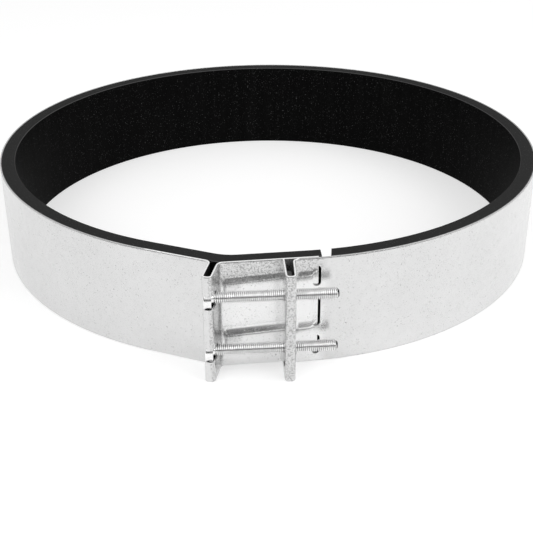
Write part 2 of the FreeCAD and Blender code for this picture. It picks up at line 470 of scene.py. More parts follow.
@dataclass(frozen=True)
class RubberFinish:
    """Extruded black rubber with dust in its skin, a greyer upper face, and a painted highlight just below
    its rim.

    The spans of the upper face and of the painted highlight's two sides are depths below that face, in
    millimetres.
    """

    black: Colour = grey(0.002)
    wear_and_shade: Colour = grey(0.004)
    upper_face_grey: Colour = grey(0.025)
    # The grey of the painted highlight just below the upper face's rim
    rim: Colour = grey(0.09)
    dust: Colour = grey(0.24)
    grain_mm: float = 1.1
    dust_mm: float = 0.6
    streak_mm: float = 5.0
    bump_mm: float = 0.10
    streak_stretch: Triple = (1.0, 1.0, 0.08)
    grain_share: float = 0.6
    wear_stops: Stops = ((0.45, 0.0), (0.62, 1.0))
    dust_stops: Stops = ((0.75, 0.0), (0.80, 1.0))
    upper_face: Span = (0.4, 0.05)
    highlight_foot: Span = (0.6, 0.4)
    highlight_top: Span = (0.12, 0.02)
    upper_face_strength: float = 0.9
    highlight_strength: float = 0.8
    dust_strength: float = 0.32
    rough: float = 0.5
    grain_roughens: float = 0.25
    upper_face_roughens: float = 0.1
    gloss: float = 0.03

    def material(self, top: float) -> bpy.types.Material:
        """Make the material.

        Args:
            top: height of the lining's upper face, in millimetres.

        Returns:
            The material.
        """
        made, graph = new_material("black_rubber")
        place, height = graph.place(), graph.axes()[2]
        grain = graph.noise(place, self.grain_mm, detail=4.0, roughness=0.7)
        streaks = graph.noise(graph.place(self.streak_stretch), self.streak_mm)
        dust = graph.ramp(graph.noise(place, self.dust_mm, detail=0.0), self.dust_stops)
        wear = graph.ramp(grain * self.grain_share + streaks * (1.0 - self.grain_share), self.wear_stops)
        spans = (self.upper_face, self.highlight_foot, self.highlight_top)
        upper_face, highlight_foot, highlight_top = (height.rise((top - deep, top - shallow)) for deep, shallow in spans)
        colour = graph.blend(wear, self.black, self.wear_and_shade)
        colour = graph.blend(upper_face * self.upper_face_strength, colour, self.upper_face_grey)
        # Painted highlight: a pale band just below the upper face's rim
        colour = graph.blend(highlight_foot * (1.0 - highlight_top) * self.highlight_strength, colour, self.rim)
        colour = graph.blend(dust * self.dust_strength, colour, self.dust)
        finish_surface(graph, made, {
            "Base Color": colour, "Specular IOR Level": self.gloss,
            "Roughness": grain * self.grain_roughens + upper_face * self.upper_face_roughens + self.rough,
            "Normal": graph.bump(streaks, self.bump_mm, graph.bump(grain, self.bump_mm)),
        })
        return made


@dataclass(frozen=True)
class ZincFinish:
    """Zinc plate; where the finish is given an axis, painted shade darkens the roots of its thread and its
    tip.

    The root's span is depths below the thread's radius, and the tip's is distances before its end.
    """

    bright: Colour = grey(0.96)
    dull: Colour = grey(0.80)
    thread_shade: Colour = grey(0.12)
    name: str = "bright_zinc"
    metal: float = 1.0
    rough: float = 0.14
    patch_mm: float = 2.5
    fine_mm: float = 0.5
    bump_mm: float = 0.006
    patch_stops: Stops = ((0.4, 0.0), (0.7, 1.0))
    patches_roughen: float = 0.15
    fine_roughens: float = 0.05
    axis: Optional[Span] = None
    thread_radius: float = 3.0
    tip: float = 0.0
    root: Span = (0.6, 0.42)
    root_strength: float = 0.55
    tip_span: Span = (1.0, 0.6)

    def material(self) -> bpy.types.Material:
        """Make the material.

        Returns:
            The material.
        """
        made, graph = new_material(self.name)
        patches = graph.noise(graph.place(), self.patch_mm, detail=3.0, roughness=0.6)
        fine = graph.noise(graph.place(), self.fine_mm, detail=1.0)
        colour = graph.blend(graph.ramp(patches, self.patch_stops), self.bright, self.dull)
        if self.axis is not None:
            # Painted shade in the thread's roots and on its tip
            tip = graph.axes()[0].rise((self.tip - self.tip_span[0], self.tip - self.tip_span[1]))
            colour = graph.blend(self._roots(graph) * self.root_strength, colour, self.thread_shade)
            colour = graph.blend(tip, colour, self.thread_shade)
        finish_surface(graph, made, {
            "Base Color": colour, "Metallic": self.metal,
            "Roughness": patches * self.patches_roughen + fine * self.fine_roughens + self.rough,
            "Normal": graph.bump(fine, self.bump_mm),
        })
        return made

    def _roots(self, graph: Graph) -> Wire:
        """How deep in the thread a point lies, by its distance from the screw's axis.

        Args:
            graph: the material's graph.

        Returns:
            The wire: 1 in the roots, 0 on the crests.
        """
        offset = graph.node("ShaderNodeVectorMath", {
            0: graph.place((0.0, 1.0, 1.0)), 1: (0.0, self.axis[0] * MM, self.axis[1] * MM),
        }, operation="DISTANCE")
        span = (self.thread_radius - self.root[0], self.thread_radius - self.root[1])
        return 1.0 - graph.wire(offset, "Value").rise(span)


def new_material(name: str) -> tuple[bpy.types.Material, Graph]:
    """Make a node material with an empty graph.

    Args:
        name: the material's name.

    Returns:
        The material and its graph.
    """
    made = bpy.data.materials.new(name)
    made.use_nodes = True
    return made, Graph(made.node_tree)


def finish_surface(graph: Graph, made: bpy.types.Material, sockets: dict[str, Value]) -> None:
    """Close a material with its surface shader.

    Args:
        graph: the material's graph.
        made: the material.
        sockets: values and wires of the shader's sockets.
    """
    shader = graph.node("ShaderNodeBsdfPrincipled", sockets)
    graph.node("ShaderNodeOutputMaterial", {"Surface": graph.wire(shader)})
    made.diffuse_color = (0.5, 0.5, 0.5, 1.0)


def towards(angle: float) -> complex:
    """The unit step at an angle from X, seen from above."""
    return cmath.rect(1.0, angle)


def arc(centre: complex, radius: float, start: float, turn: float, steps: int) -> list[complex]:
    """Points round a stretch of a circle, with both of its ends.

    Args:
        centre: the circle's centre.
        radius: its radius.
        start: the angle of the first point, in quarter turns.
        turn: how far the points go round to the left, in quarter turns.
        steps: how many steps they take.

    Returns:
        The points, one more than the steps.
    """
    angles = [(start + turn * step / steps) * math.pi / 2 for step in range(steps + 1)]
    return [centre + towards(angle) * radius for angle in angles]


def crossing(point: complex, way: complex, other: complex, other_way: complex) -> complex:
    """Where a line through one point meets a line through another.

    Args:
        point: a point of the first line.
        way: the first line's unit step.
        other: a point of the second line.
        other_way: the second line's unit step.

    Returns:
        The point that they share.
    """
    normal = other_way * 1j
    along = ((other - point) * normal.conjugate()).real / (way * normal.conjugate()).real
    return point + way * along


@dataclass(frozen=True)
class Touch:
    """Where a straight run touches the rings round the duct."""

    degrees: float

    @property
    def out(self) -> complex:
        """The step from the duct's axis to the touching point."""
        return towards(math.radians(self.degrees))

    @property
    def way(self) -> complex:
        """The run's own step."""
        return self.out * 1j

    def meets(self, radius: float, point: complex, way: complex) -> complex:
        """Where the run that touches a ring of this radius meets another line."""
        return crossing(self.out * radius, self.way, point, way)


@dataclass(frozen=True)
class Station:
    """One point of a course: its place, the step to its left, its distance and its stretch."""

    place: complex
    left: complex
    distance: float
    stretch: Stretch


@dataclass
class Course:
    """A plane line of straight runs and bends, each tangent to the last, seen from above."""

    start: complex
    angle: float
    steps: list[tuple[float, float, float, Stretch]] = field(default_factory=list)

    def __post_init__(self) -> None:
        """Start at the first point."""
        self.end = self.start
        self.end_angle = self.angle

    def run_to(self, point: complex, stretch: Stretch) -> None:
        """Add a straight run.

        Args:
            point: the point that it ends beside.
            stretch: the stretch that it belongs to.
        """
        way = towards(self.end_angle)
        length = ((point - self.end) * way.conjugate()).real
        self.steps.append((length, 0.0, 0.0, stretch))
        self.end += way * length

    def bend(self, turn: float, radius: float, stretch: Stretch) -> None:
        """Add a bend.

        Args:
            turn: how far it turns to the left, in radians.
            radius: its radius.
            stretch: the stretch that it belongs to.
        """
        self.steps.append((0.0, turn, radius, stretch))
        side = math.copysign(radius, turn)
        centre = self.end + towards(self.end_angle) * 1j * side
        self.end_angle += turn
        self.end = centre - towards(self.end_angle) * 1j * side

    def follow_ring(self, radius: float, end_angle: float, stretch: Stretch) -> None:
        """Follow a ring to the left, up to an angle."""
        self.bend((end_angle + math.pi / 2 - self.end_angle) % math.tau, radius, stretch)

    def round_corners(
        self, corners: Sequence[complex], radii: Sequence[float], last: complex, stretch: Stretch,
    ) -> None:
        """Go round corners, each with its own bend.

        Args:
            corners: the corners before they are bent.
            radii: the bend radius of each.
            last: the point that the way out of the last corner leads to.
            stretch: the stretch that they belong to.
        """
        for corner, following, radius in zip(corners, [*corners[1:], last], radii):
            turn = math.remainder(cmath.phase(following - corner) - self.end_angle, math.tau)
            self.run_to(corner - towards(self.end_angle) * radius * math.tan(abs(turn) / 2), stretch)
            self.bend(turn, radius, stretch)

    def stations(self, run_step: Callable[[Stretch], float], bend_step: float) -> list[Station]:
        """Points along the course.

        Args:
            run_step: gives the longest step in a stretch.
            bend_step: the largest turn of one step, in radians.

        Returns:
            The points, from the start to the end.
        """
        made = [Station(self.start, towards(self.angle) * 1j, 0.0, self.steps[0][3])]
        place, angle, distance = self.start, self.angle, 0.0
        for length, turn, radius, stretch in self.steps:
            whole = length + abs(turn) * radius
            if whole < MERGE:
                continue
            count = max(1, math.ceil(whole / run_step(stretch)), math.ceil(abs(turn) / bend_step))
            side = math.copysign(radius, turn)
            centre = place + towards(angle) * 1j * side
            for step in range(1, count + 1):
                share = step / count
                if turn:
                    here_angle = angle + turn * share
                    here = centre - towards(here_angle) * 1j * side
                else:
                    here_angle = angle
                    here = place + towards(angle) * length * share
                made.append(Station(here, towards(here_angle) * 1j, distance + whole * share, stretch))
            place, angle, distance = made[-1].place, angle + turn, distance + whole
        return made


def smooth(share: float) -> float:
    """An eased step from 0 to 1."""
    share = min(1.0, max(0.0, share))
    return share * share * (3.0 - 2.0 * share)


def ramp_up(share: float, soft: float) -> float:
    """A ramp from 0 to 1 with both of its corners rounded.

    Args:
        share: the place on the ramp, from 0 to 1.
        soft: half the length of each rounded corner.

    Returns:
        The height of the ramp.
    """
    def bent(past: float) -> float:
        """Zero before a corner, then a rise of one in one."""
        return min(max(past + soft, 0.0), 2 * soft) ** 2 / (4 * soft) + max(past - soft, 0.0)

    return bent(share) - bent(share - 1.0)


def spread_rows(low: float, high: float, marks: Iterable[float], coarse: float) -> list[float]:
    """Heights between two ends: some marks, with even steps where they lie far apart.

    Args:
        low: the lowest height.
        high: the highest height.
        marks: heights that each get a row.
        coarse: the largest step.

    Returns:
        The heights, from the lowest to the highest.
    """
    rows = [low]
    for mark in [*sorted(mark for mark in marks if low < mark < high), high]:
        start = rows[-1]
        count = math.ceil((mark - start) / coarse)
        rows += [start + (mark - start) * step / count for step in range(1, count + 1)]
    return rows


def side_faces(steps: int, size: int) -> list[list[int]]:
    """Faces between loops of points that follow each other.

    Args:
        steps: how many steps lead from the first loop to the last.
        size: how many points each loop has.

    Returns:
        The faces, as lists of point numbers, one step after another.
    """
    return [
        [first + row, first + (row + 1) % size, first + size + (row + 1) % size, first + size + row]
        for first in range(0, steps * size, size) for row in range(size)
    ]


def end_faces(steps: int, size: int) -> list[list[int]]:
    """The two faces that close the first and the last of those loops."""
    return [[*range(size)], [*range(steps * size, (steps + 1) * size)]]


@contextmanager
def opened(mesh: bpy.types.Mesh) -> Iterator[bmesh.types.BMesh]:
    """Open a mesh for changes, and write them back at the end.

    Args:
        mesh: the mesh.

    Yields:
        The form to change.
    """
    form = bmesh.new()
    form.from_mesh(mesh)
    yield form
    form.to_mesh(mesh)
    form.free()


def mesh_object(
    name: str, points: Sequence[Sequence[float]], faces: Sequence[Sequence[int]],
    finishes: Iterable[bpy.types.Material], slots: Sequence[int] = (),
) -> bpy.types.Object:
    """Make a mesh object from points in millimetres.

    Args:
        name: the object's name.
        points: its points.
        faces: its faces, as lists of point numbers.
        finishes: its materials, in the order of their slots.
        slots: the material slot of each face, where they differ.

    Returns:
        The object, welded and with its faces turned outwards.
    """
    mesh = bpy.data.meshes.new(name)
    mesh.from_pydata([(x * MM, y * MM, z * MM) for x, y, z in points], [], faces)
    for finish in finishes:
        mesh.materials.append(finish)
    for polygon, number in zip(mesh.polygons, slots):
        polygon.material_index = number
    made = bpy.data.objects.new(name, mesh)
    bpy.context.scene.collection.objects.link(made)
    with opened(mesh) as form:
        bmesh.ops.remove_doubles(form, verts=form.verts, dist=MERGE * MM)
        bmesh.ops.recalc_face_normals(form, faces=form.faces)
    return made


def shade(piece: bpy.types.Object, edge_degrees: float = 32.0) -> None:
    """Shade a piece smooth, and keep edges sharp where its faces turn by more than an angle."""
    piece.data.shade_smooth()
    piece.data.set_sharp_from_angle(angle=math.radians(edge_degrees))


def cut_away(piece: bpy.types.Object, cutters: Sequence[bpy.types.Object]) -> None:
    """Cut cutters out of a piece, and delete them.

    Args:
        piece: the piece.
        cutters: closed meshes; where they cut, the piece takes their material.
    """
    for cutter in cutters:
        step = piece.modifiers.new("cut", "BOOLEAN")
        step.operation = "DIFFERENCE"
        step.solver = "EXACT"
        step.material_mode = "TRANSFER"
        step.object = cutter
    settled = bpy.data.meshes.new_from_object(piece.evaluated_get(bpy.context.evaluated_depsgraph_get()))
    piece.modifiers.clear()
    piece.data = settled
    for cutter in cutters:
        bpy.data.objects.remove(cutter)


def weld(piece: bpy.types.Object, other: bpy.types.Object, seam: Station) -> None:
    """Join a closed mesh to the end of another, and take out the faces between them.

    Args:
        piece: the mesh that is kept.
        other: the mesh that is joined to it, and deleted.
        seam: where they meet.
    """
    way = seam.left / 1j

    def past(vert: bmesh.types.BMVert) -> float:
        """How far a point lies past the seam, in millimetres."""
        return ((complex(vert.co.x, vert.co.y) / MM - seam.place) * way.conjugate()).real

    with opened(piece.data) as form:
        form.from_mesh(other.data)
        between = [face for face in form.faces if all(abs(past(vert)) < SEAM for vert in face.verts)]
        rim = list({vert for face in between for vert in face.verts})
        bmesh.ops.delete(form, geom=between, context="FACES_ONLY")
        bmesh.ops.remove_doubles(form, verts=rim, dist=SEAM * MM)
        # The faces that the cutters left with many corners would else split into slivers that lie double
        many_cornered = [face for face in form.faces if len(face.verts) > 4]
        bmesh.ops.triangulate(form, faces=many_cornered, ngon_method="BEAUTY")
    bpy.data.objects.remove(other)


def prism(
    name: str, outline: Sequence[complex], span: Span, axes: Matrix, finish: bpy.types.Material,
) -> bpy.types.Object:
    """Make a straight cutter with any outline.

    Args:
        name: its name.
        outline: its outline in its own plane.
        span: where it starts and ends along its own axis.
        axes: turns its own plane and axis into the part's.
        finish: the material that it leaves where it cuts.

    Returns:
        The cutter.
    """
    count = len(outline)
    points = [axes @ Vector((point.real, point.imag, end)) for end in span for point in outline]
    return mesh_object(name, points, end_faces(1, count) + side_faces(1, count), [finish])


def long_outline(half_length: float, half_width: float) -> list[complex]:
    """Outline of a hole with round ends: half its straight stretch, and half its width."""
    top = arc(half_length * 1j, half_width, 0, 2, 14)
    return top + [-point for point in top]


# A cutter's own plane and axis: through the front of the band, and along the screws
THROUGH_FRONT = Matrix(((1.0, 0.0, 0.0), (0.0, 0.0, 1.0), (0.0, 1.0, 0.0)))
ALONG_SCREWS = Matrix(((0.0, 0.0, 1.0), (1.0, 0.0, 0.0), (0.0, 1.0, 0.0)))


@dataclass(frozen=True)
class Ring:
    """The radii and touching runs that the band and its lining share, in millimetres and degrees."""

    duct_radius: float = 157.5
    lining_thickness: float = 8.0
    glue_line: float = 0.1
    sheet: float = 1.0
    lap_gap: float = 0.1
    lap_tilt: float = 3.0
    run_off_turn: float = 26.0

    @property
    def band_radius(self) -> float:
        """Radius of the band's middle line."""
        return self.duct_radius + self.lining_thickness + self.glue_line + self.sheet / 2

    @property
    def nest(self) -> float:
        """How far the lap lies inside the band."""
        return self.sheet + self.lap_gap

    @property
    def lap_radius(self) -> float:
        """Radius of the lap's middle line."""
        return self.band_radius - self.nest

    @property
    def lap_touch(self) -> Touch:
        """Where the lap's straight run touches the rings."""
        return Touch(self.lap_tilt - 90.0)

    @property
    def run_off(self) -> Touch:
        """Where the straight run to the left ear leaves the rings."""
        return Touch(-90.0 - self.run_off_turn)

    @staticmethod
    def angle_at(x: float, radius: float) -> float:
        """Angle of the point at x on the front of a ring."""
        return -math.acos(x / radius)


@dataclass
class SteelBand:
    """The galvanised sheet: its ring, two folded ears, the lap with its beads, windows and slots."""

    ring: Ring
    height: float
    root_bend: float = 3.0
    nose_bend: float = 1.7
    fold_gap: float = 3.4
    right_ear_x: float = -1.85
    right_ear_height: float = 18.1
    right_ear_flare: float = 2.4
    left_ear_x: float = -38.3
    left_ear_height: float = 16.0
    left_ear_lean: float = 14.5
    lap_end: float = 13.6
    bead_heights: Span = (15.0, 45.0)
    bead_margin: float = 0.1
    bead_start_slope: float = 0.9
    bead_end: float = 15.5
    bead_end_slope: float = 6.0
    bead_crown: float = 3.2
    bead_side_slopes: Span = (4.2, 3.0)
    bead_depths: Span = (1.4, 1.0)
    bead_splay: float = 0.055
    bead_lean: float = 0.105
    bead_fade: float = 0.0048
    bead_dish: float = 1.15
    bead_soft: float = 0.12
    nest_margin: float = 2.0
    window_x: float = 12.8
    window_width: float = 4.2
    windows: tuple[Span, ...] = ((4.25, 15.75), (21.2, 38.8), (44.25, 55.75))
    screw_y: float = -175.5
    screw_heights: Span = (15.0, 45.0)
    screw_hole: float = 7.0
    slot_width: float = 7.8
    slot_reach: float = 1.2
    head_hole: float = 13.0
    rim_radius: float = 0.18
    roll_height: float = 1.1
    roll_depth: float = 0.2
    reach: float = 60.0
    slope_rows: int = 14
    slope_margins: Span = (0.5, 3.1)
    roll_marks: tuple[float, ...] = (1.0, 0.8, 0.6, 0.4, 0.25)
    coarse_row: float = 2.5
    ring_step: float = 4.5
    ear_step: float = 2.5
    fine_step: float = 0.6
    bend_step: float = 9.0

    def __post_init__(self) -> None:
        """Work out the ears' corners."""
        half_fold = (self.fold_gap + self.ring.sheet) / 2
        self.half_fold = half_fold
        self.near_leg = self.right_ear_x - half_fold
        self.far_leg = self.right_ear_x + half_fold
        self.nose_y = -(self.ring.band_radius + self.right_ear_height)
        self.far_root = self.ring.lap_touch.meets(
            self.ring.band_radius, complex(self.far_leg, self.nose_y),
            towards(math.radians(90.0 - self.right_ear_flare)),
        )
        self.ear_way = towards(math.radians(-90.0 - self.left_ear_lean))
        self.ear_foot = complex(self.left_ear_x, -self.ring.band_radius)
        self.course = self._course()

    def _leg(self, side: int, out: float = 0.0) -> complex:
        """A point of the left ear's left (-1) or right (1) leg."""
        return self.ear_foot + self.ear_way * out + self.ear_way * 1j * side * self.half_fold

    def _course(self) -> Course:
        """Lay out the sheet's middle line.

        Returns:
            The line, from the right ear's free edge to the end of the lap.
        """
        ring, touch = self.ring, self.ring.lap_touch
        over_lap = touch.out * (ring.lap_radius + ring.sheet / 2 + ring.lap_gap)
        free = crossing(over_lap, touch.way, complex(self.near_leg), 1j)
        course = Course(free, math.radians(-90.0))
        nose = [complex(self.near_leg, self.nose_y), complex(self.far_leg, self.nose_y)]
        course.round_corners(nose, [self.nose_bend] * 2, self.far_root, Stretch.RIGHT_EAR)
        start, nest_end = touch.out * ring.band_radius, self.bead_end + self.nest_margin
        course.round_corners([self.far_root], [self.root_bend], start, Stretch.RIGHT_EAR)
        course.run_to(start, Stretch.NEST)
        course.follow_ring(ring.band_radius, ring.angle_at(nest_end, ring.band_radius), Stretch.NEST)
        course.follow_ring(ring.band_radius, cmath.phase(ring.run_off.out), Stretch.RING)
        corners = [
            ring.run_off.meets(ring.band_radius, self._leg(-1), self.ear_way),
            self._leg(-1, self.left_ear_height),
            self._leg(1, self.left_ear_height),
            touch.meets(ring.lap_radius, self._leg(1), self.ear_way),
        ]
        radii = [self.root_bend, self.nose_bend, self.nose_bend, self.root_bend]
        course.round_corners(corners, radii, touch.out * ring.lap_radius, Stretch.LEFT_EAR)
        self.bead_start = course.end.real + self.bead_margin
        course.run_to(touch.out * ring.lap_radius, Stretch.LAP)
        course.follow_ring(ring.lap_radius, ring.angle_at(self.lap_end, ring.lap_radius), Stretch.LAP)
        return course

    def press(self, place: complex, z: float) -> float:
        """How far the beads raise the sheet outwards.

        Each bead is highest along its upper edge, leans back below it, widens and fades to the right.

        Args:
            place: the point of the middle line.
            z: its height.

        Returns:
            The rise in millimetres.
        """
        past = max(0.0, place.real - self.bead_start)
        ends = min(past / self.bead_start_slope, (self.bead_end - place.real) / self.bead_end_slope)
        raised = 0.0
        crown = self.bead_crown + self.bead_splay * past
        for height, side_slope, depth in zip(self.bead_heights, self.bead_side_slopes, self.bead_depths):
            side = 1.0 - (abs(z - height) - crown) / side_slope
            lean = max(0.0, 1.0 - self.bead_lean * max(0.0, height + crown - z))
            raised += ramp_up(min(ends, side), self.bead_soft) ** self.bead_dish * depth * lean
        return raised * (1.0 - self.bead_fade * past)

    def _roll(self, z: float) -> float:
        """How far the shears drew the outer side in, near its upper edge."""
        share = max(0.0, 1.0 - (self.height - z) / self.roll_height)
        return self.roll_depth * share ** 1.5

    def _rows(self) -> list[float]:
        """Heights of the rows of points.

        Returns:
            The heights, close together over the beads' slopes and the rolled edge.
        """
        inner = self.bead_crown - self.slope_margins[0]
        wide = self.bead_side_slopes[0] + self.slope_margins[0] + self.slope_margins[1]
        marks = [
            height + side * (inner + wide * step / self.slope_rows)
            for height in self.bead_heights for side in (-1, 1) for step in range(self.slope_rows + 1)
        ]
        marks += [self.height - self.roll_height * share for share in self.roll_marks]
        return spread_rows(self.rim_radius, self.height - self.rim_radius, marks, self.coarse_row)

    def _section(self) -> list[tuple[float, float, Skin]]:
        """The sheet's section, with its rounded rims.

        Returns:
            A loop of points: offset, height and the side that the face after it belongs to.
        """
        half, rim, top = self.ring.sheet / 2, self.rim_radius, self.height
        rows, drawn = self._rows(), rim - half + self._roll(top - rim)
        corners = (
            complex(half - rim, top - rim), complex(drawn, top - rim),
            complex(rim - half, rim), complex(half - rim, rim),
        )
        rims = [arc(corner, rim, quarter, 1, 3) for quarter, corner in enumerate(corners)]
        upper, lower = (
            [(point.real, point.imag, Skin.SHEARED) for point in first + second[:-1]]
            for first, second in (rims[:2], rims[2:])
        )
        inner = [(half, z, Skin.INNER) for z in rows[:-1]]
        return inner + upper + [(self._roll(z) - half, z, Skin.OUTER) for z in rows[:0:-1]] + lower

    def _place(self, station: Station, offset: float, z: float) -> tuple[float, float, float]:
        """Where a point of the sheet lies.

        Args:
            station: its place along the course.
            offset: how far it lies to the left of the course.
            z: its height.

        Returns:
            The point, pressed where the beads or their nested copies reach it.
        """
        pressed_at, share = station.place, 1.0
        if station.stretch is Stretch.RIGHT_EAR and station.place.real < self.right_ear_x:
            pressed_at = complex(self.near_leg, -self.ring.lap_radius)
            share = max(0.0, 1.0 - station.distance / self.right_ear_height)
        elif station.stretch is Stretch.RIGHT_EAR:
            share = smooth((station.place.real - self.far_root.real) / self.root_bend)
        elif station.stretch not in (Stretch.LAP, Stretch.NEST):
            share = 0.0
        place = station.place + station.left * offset
        if share:
            place += self.ring.lap_touch.out * self.press(pressed_at, z) * share
        return place.real, place.imag, z

    @staticmethod
    def _coat(stretch: Stretch, skin: Skin) -> Coat:
        """The finish of the sheet on one of its sides.

        Args:
            stretch: the stretch of the course.
            skin: the side of the sheet.

        Returns:
            The finish.
        """
        folded = stretch in (Stretch.LEFT_EAR, Stretch.RIGHT_EAR)
        if skin is Skin.SHEARED:
            return Coat.BRIGHT_EDGE if folded or stretch is Stretch.LAP else Coat.DULL_EDGE
        # The insides of the folds take the painted shade
        return Coat.FOLD if folded and skin is Skin.INNER else Coat.SHEET

    def _sweep(
        self, name: str, stations: Sequence[Station], finishes: dict[Coat, bpy.types.Material],
    ) -> bpy.types.Object:
        """Make a closed stretch of the sheet.

        Args:
            name: its name.
            stations: the points of the course along it.
            finishes: the materials, in the order of their slots.

        Returns:
            The stretch.
        """
        loop, steps = self._section(), len(stations) - 1
        points = [self._place(station, offset, z) for station in stations for offset, z, _ in loop]
        faces = side_faces(steps, len(loop)) + end_faces(steps, len(loop))
        coats = [self._coat(station.stretch, skin) for station in stations[1:] for _, _, skin in loop]
        slots = [[*finishes].index(coat) for coat in coats + [Coat.BRIGHT_EDGE] * 2]
        return mesh_object(name, points, faces, finishes.values(), slots)

    def _finishes(self) -> dict[Coat, bpy.types.Material]:
        """Make the sheet's materials.

        Returns:
            The materials, by the finish that they are.
        """
        return {
            Coat.SHEET: SteelFinish(self.left_ear_lean).material(),
            Coat.BRIGHT_EDGE: CutEdgeFinish().material(),
            Coat.FOLD: FoldFinish().material(),
            Coat.DULL_EDGE: CutEdgeFinish(Coat.DULL_EDGE, grey(0.50), grey(0.30)).material(),
            # The windows' edges are near black: painted shade for the shadow in the gap behind them
            Coat.SHADED_WINDOW_EDGE: CutEdgeFinish(Coat.SHADED_WINDOW_EDGE, grey(0.20), grey(0.08)).material(),
        }

    def build(self) -> bpy.types.Object:
        """Make the sheet, with its windows, holes and slots cut.

        Returns:
            The sheet.
        """
        steps = {Stretch.RING: self.ring_step, Stretch.LAP: self.fine_step, Stretch.NEST: self.fine_step}
        stations = self.course.stations(
            lambda stretch: steps.get(stretch, self.ear_step), math.radians(self.bend_step),
        )
        finishes = self._finishes()
        foot = next(number for number, station in enumerate(stations) if station.stretch is Stretch.LAP) - 1
        piece = self._sweep("steel_band", stations[:foot + 1], finishes)
        lap = self._sweep("lap", stations[foot:], finishes)
        cut_away(piece, self._cutters(finishes))
        weld(piece, lap, stations[foot])
        shade(piece)
        return piece

    def _cutters(self, finishes: dict[Coat, bpy.types.Material]) -> list[bpy.types.Object]:
        """Make the windows, holes and slots, as cutters.

        Args:
            finishes: the sheet's materials.

        Returns:
            The cutters.
        """
        half_width, half_slot, edge = self.window_width / 2, self.slot_width / 2, finishes[Coat.BRIGHT_EDGE]
        through = (-self.ring.band_radius - self.reach, -self.ring.duct_radius)
        made = []
        for low, high in self.windows:
            middle = complex(self.window_x, (low + high) / 2)
            outline = [middle + point for point in long_outline((high - low) / 2 - half_width, half_width)]
            made.append(prism("window", outline, through, THROUGH_FRONT, finishes[Coat.SHADED_WINDOW_EDGE]))
        nose = (self.ear_foot + self.ear_way * (self.left_ear_height + self.reach)).imag
        middle_x = crossing(self.ear_foot, self.ear_way, self.screw_y * 1j, 1.0).real
        left, right = self.left_ear_x - self.reach, self.near_leg - 2 * self.ring.sheet
        past_leg = self.far_root.real + self.ring.sheet
        for height in self.screw_heights:
            centre = complex(self.screw_y, height)
            # A slot with a round end: from the nose to the screw, through both legs of the left ear
            bend = arc(centre + self.slot_reach, half_slot, -1, 2, 20)
            slot = [complex(nose, height - half_slot), *bend, complex(nose, height + half_slot)]
            hole = arc(centre, self.screw_hole / 2, 0, 4, 48)[:-1]
            head_hole = arc(centre, self.head_hole / 2, 0, 4, 48)[:-1]
            for name, outline, span in (
                ("slot", slot, (left, right)), ("hole", hole, (right, past_leg)),
                ("head_hole", head_hole, (left, middle_x)),
            ):
                made.append(prism(name, outline, span, ALONG_SCREWS, edge))
        return made


@dataclass
class RubberLining:
    """The rubber strip inside the band, which bridges the foot of the left ear."""

    ring: Ring
    height: float
    start_x: float = 21.0
    end_x: float = 15.3
    inner_bend: float = 24.0
    outer_bend: float = 10.0
    rim_radius: float = 0.5
    rows: int = 6
    columns: int = 420
    bend_step: float = 1.5
    edge_degrees: float = 50.0

    def _side(self, radius: float, under_lap: float, bend: float) -> list[complex]:
        """One face of the strip.

        Args:
            radius: its radius inside the ring.
            under_lap: its radius under the lap.
            bend: its bend radius at the foot of the left ear.

        Returns:
            Points at even steps along it.
        """
        ring, touch, run_off = self.ring, self.ring.lap_touch, self.ring.run_off
        start = ring.angle_at(self.start_x, radius)
        course = Course(towards(start) * radius, start + math.pi / 2)
        course.follow_ring(radius, cmath.phase(run_off.out), Stretch.RING)
        foot = crossing(run_off.out * radius, run_off.way, touch.out * under_lap, touch.way)
        course.round_corners([foot], [bend], touch.out * under_lap, Stretch.FRONT)
        course.run_to(touch.out * under_lap, Stretch.FRONT)
        course.follow_ring(under_lap, ring.angle_at(self.end_x, under_lap), Stretch.FRONT)
        return self._resample(course.stations(lambda stretch: math.inf, math.radians(self.bend_step)))

    def _resample(self, side: list[Station]) -> list[complex]:
        """Spread points at even steps along a face.

        Args:
            side: the face's stations.

        Returns:
            The points.
        """
        made, index = [], 0
        for step in range(self.columns + 1):
            distance = side[-1].distance * step / self.columns
            while index < len(side) - 2 and side[index + 1].distance < distance:
                index += 1
            first, second = side[index], side[index + 1]
            share = (distance - first.distance) / (second.distance - first.distance)
            made.append(first.place + (second.place - first.place) * share)
        return made

    def _section(self) -> list[tuple[bool, complex]]:
        """The strip's section, with its rounded rims.

        Returns:
            A loop of points: whether each is measured from the outer face, its offset outwards and height.
        """
        rim, top = self.rim_radius, self.height
        sides = [complex(0.0, rim + (top - 2 * rim) * step / self.rows) for step in range(1, self.rows)]
        corners = (complex(-rim, top - rim), complex(rim, top - rim), complex(rim, rim), complex(-rim, rim))
        rims = [arc(corner, rim, quarter, 1, 4) for quarter, corner in enumerate(corners)]
        loop = [(True, point) for point in sides + rims[0]]
        loop += [(False, point) for point in rims[1] + sides[::-1] + rims[2]]
        return loop + [(True, point) for point in rims[3]]

    def build(self) -> bpy.types.Object:
        """Make the strip.

        Returns:
            The strip.
        """
        ring = self.ring
        clearance = ring.sheet / 2 + ring.glue_line
        inner = self._side(ring.duct_radius, ring.duct_radius, self.inner_bend)
        outer = self._side(ring.band_radius - clearance, ring.lap_radius - clearance, self.outer_bend)
        loop, points = self._section(), []
        for near, far in zip(inner, outer):
            way = (far - near) / abs(far - near)
            for outside, point in loop:
                place = (far if outside else near) + way * point.real
                points.append((place.real, place.imag, point.imag))
        faces = side_faces(self.columns, len(loop)) + end_faces(self.columns, len(loop))
        piece = mesh_object("rubber_lining", points, faces, [RubberFinish().material(self.height)])
        shade(piece, self.edge_degrees)
        return piece


